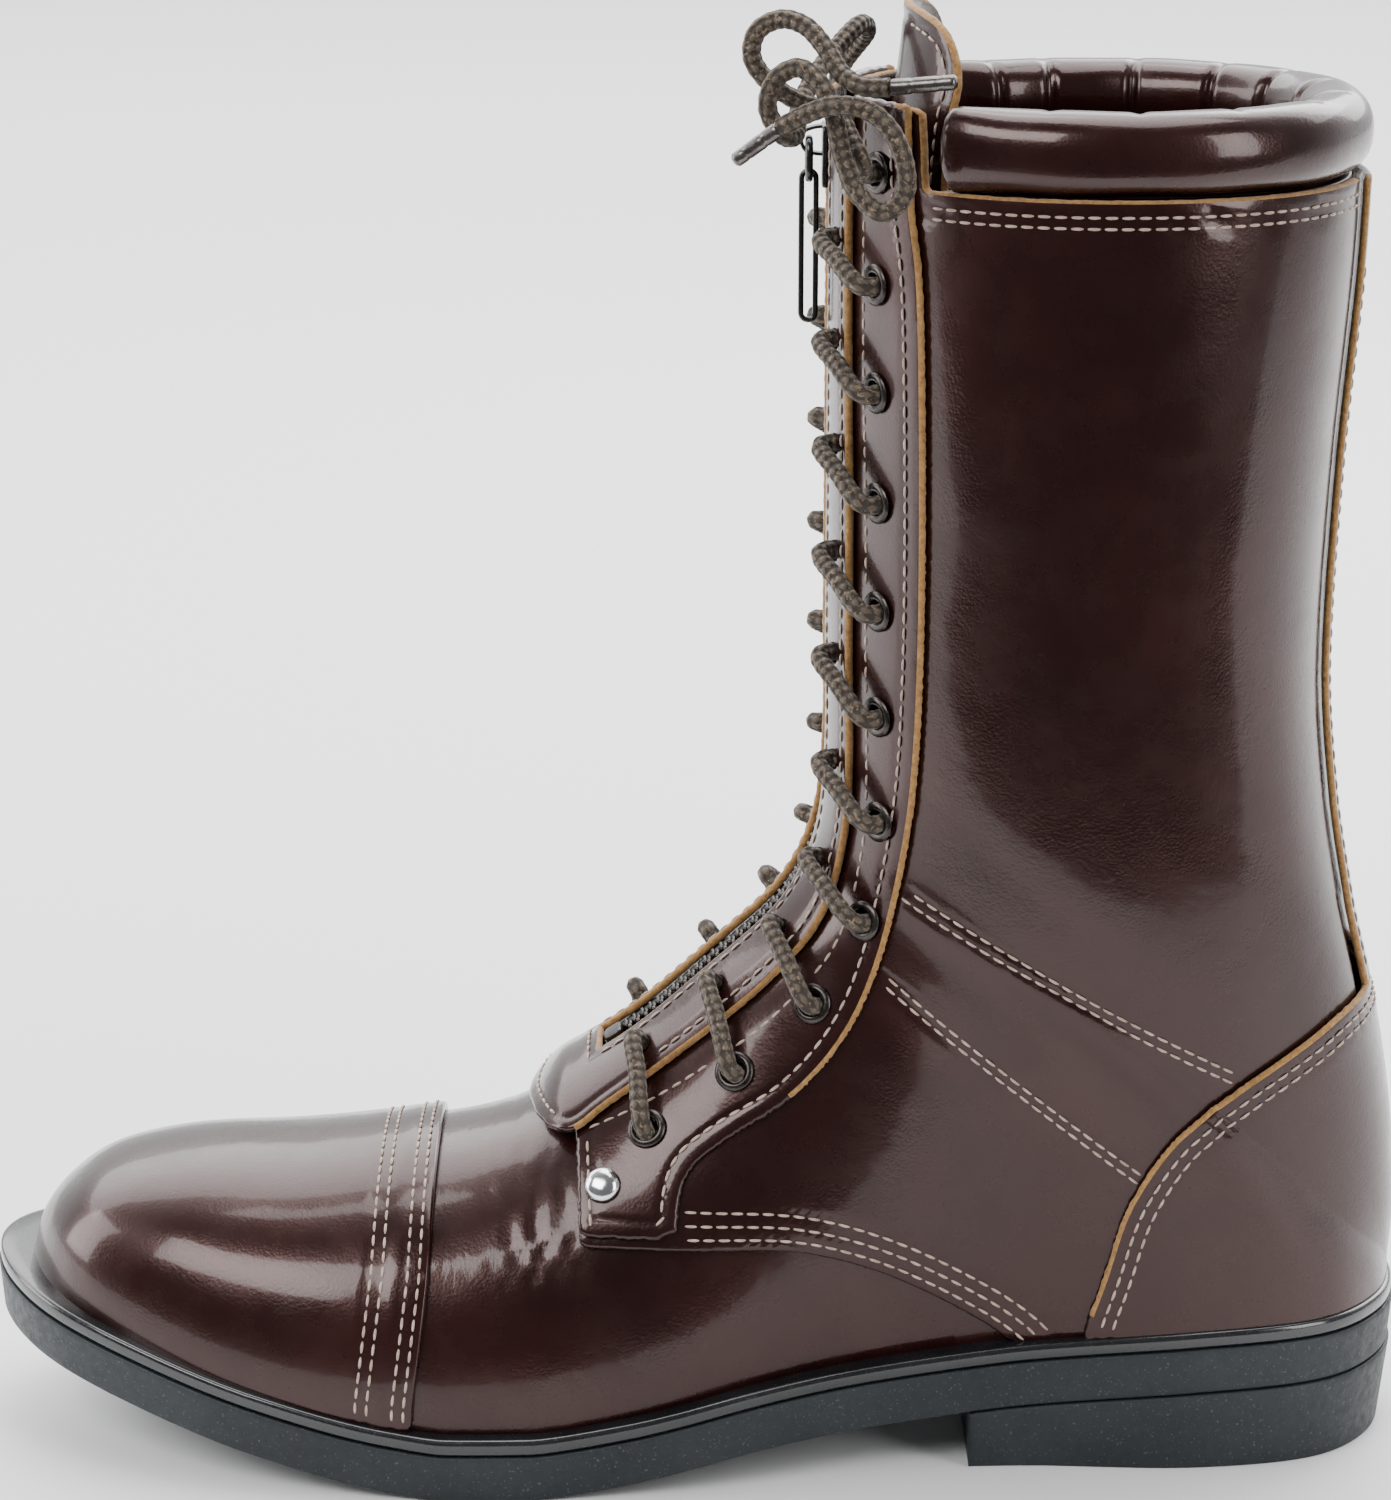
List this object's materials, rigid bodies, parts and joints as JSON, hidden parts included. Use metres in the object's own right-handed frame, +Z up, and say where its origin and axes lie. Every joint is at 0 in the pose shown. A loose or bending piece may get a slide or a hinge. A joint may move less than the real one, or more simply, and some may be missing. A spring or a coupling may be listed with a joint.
{
  "type": "firefighter boot",
  "caption": "Tall polished leather lace-up boot with toe cap, padded collar, stacked rubber heel and a lace-in zip panel with a sliding zip pull.",
  "frame": {"origin": "on the floor, under the middle of the boot's outline", "axes": "+X towards the heel, -X towards the toe, -Y towards the outer (lateral) side of a left boot, +Z up"},
  "size_m": [0.308, 0.1112, 0.3093],
  "materials": {
    "upper_leather": "polished burgundy brown, fine grain, light waxy gloss",
    "lining_leather": "smooth dark burgundy lining",
    "sole_rubber": "matte blue black moulded rubber, finely speckled",
    "welt_rubber": "glossy black",
    "cork_filler": "pressed cork",
    "shank_steel": "spring steel strip",
    "insole_board": "matte fibre board",
    "footbed_foam": "black cloth over foam",
    "stiffener_board": "matte fibre board",
    "zip_tape": "black woven tape",
    "zip_metal": "blackened metal",
    "slider_metal": "black enamelled metal",
    "rivet_chrome": "bright polished dome",
    "lace_cord": "round braided brown cord with light flecks",
    "aglet_metal": "dark polished metal",
    "eyelet_metal": "dark gunmetal"
  },
  "bodies": {
    "boot": {"outsole": "sole_rubber", "heel_block": "sole_rubber", "welt": "welt_rubber", "bottom_filler": "cork_filler", "shank": "shank_steel", "insole_board": "insole_board", "footbed": "footbed_foam", "toe_cap": "upper_leather", "toe_puff": "stiffener_board", "vamp": "upper_leather", "vamp_lining": "lining_leather", "quarter_lateral": "upper_leather", "quarter_medial": "upper_leather", "shaft_lining": "lining_leather", "heel_counter": "stiffener_board", "heel_lining": "lining_leather", "counter_cover": "upper_leather", "backstay": "upper_leather", "eyestay_lateral": "upper_leather", "eyestay_medial": "upper_leather", "collar": "upper_leather", "tongue": "upper_leather", "zip_panel": "upper_leather", "zip_tape_lateral": "zip_tape", "zip_tape_medial": "zip_tape", "zip_teeth_lateral": "zip_metal", "zip_teeth_medial": "zip_metal", "zip_bottom_stop": "zip_metal", "rivet_lateral": "rivet_chrome", "rivet_medial": "rivet_chrome", "lace_lateral": "lace_cord", "lace_medial": "lace_cord", "aglet_lateral": "aglet_metal", "aglet_medial": "aglet_metal", "eyelet_lateral_1": "eyelet_metal", "eyelet_lateral_2": "eyelet_metal", "eyelet_lateral_3": "eyelet_metal", "eyelet_lateral_4": "eyelet_metal", "eyelet_lateral_5": "eyelet_metal", "eyelet_lateral_6": "eyelet_metal", "eyelet_lateral_7": "eyelet_metal", "eyelet_lateral_8": "eyelet_metal", "eyelet_lateral_9": "eyelet_metal", "eyelet_lateral_10": "eyelet_metal", "eyelet_lateral_11": "eyelet_metal", "eyelet_medial_1": "eyelet_metal", "eyelet_medial_2": "eyelet_metal", "eyelet_medial_3": "eyelet_metal", "eyelet_medial_4": "eyelet_metal", "eyelet_medial_5": "eyelet_metal", "eyelet_medial_6": "eyelet_metal", "eyelet_medial_7": "eyelet_metal", "eyelet_medial_8": "eyelet_metal", "eyelet_medial_9": "eyelet_metal", "eyelet_medial_10": "eyelet_metal", "eyelet_medial_11": "eyelet_metal"},
    "slider": {"zip_slider": "slider_metal"},
    "bail": {"zip_bail": "slider_metal"},
    "pull": {"zip_pull": "slider_metal"}
  },
  "joints": [
    {"name": "zip_slide", "type": "slide", "parent": "boot", "child": "slider", "axis": [0, 0, -1], "range_m": [0, 0.11]},
    {"name": "bail_swing", "type": "hinge", "parent": "slider", "child": "bail", "pos_m": [0.02365, 0, 0.2806], "axis": [0, 1, 0], "range_deg": [0, 75]},
    {"name": "pull_swing", "type": "hinge", "parent": "bail", "child": "pull", "pos_m": [0.02365, 0, 0.2726], "axis": [0, 1, 0], "range_deg": [0, 70]}
  ]
}
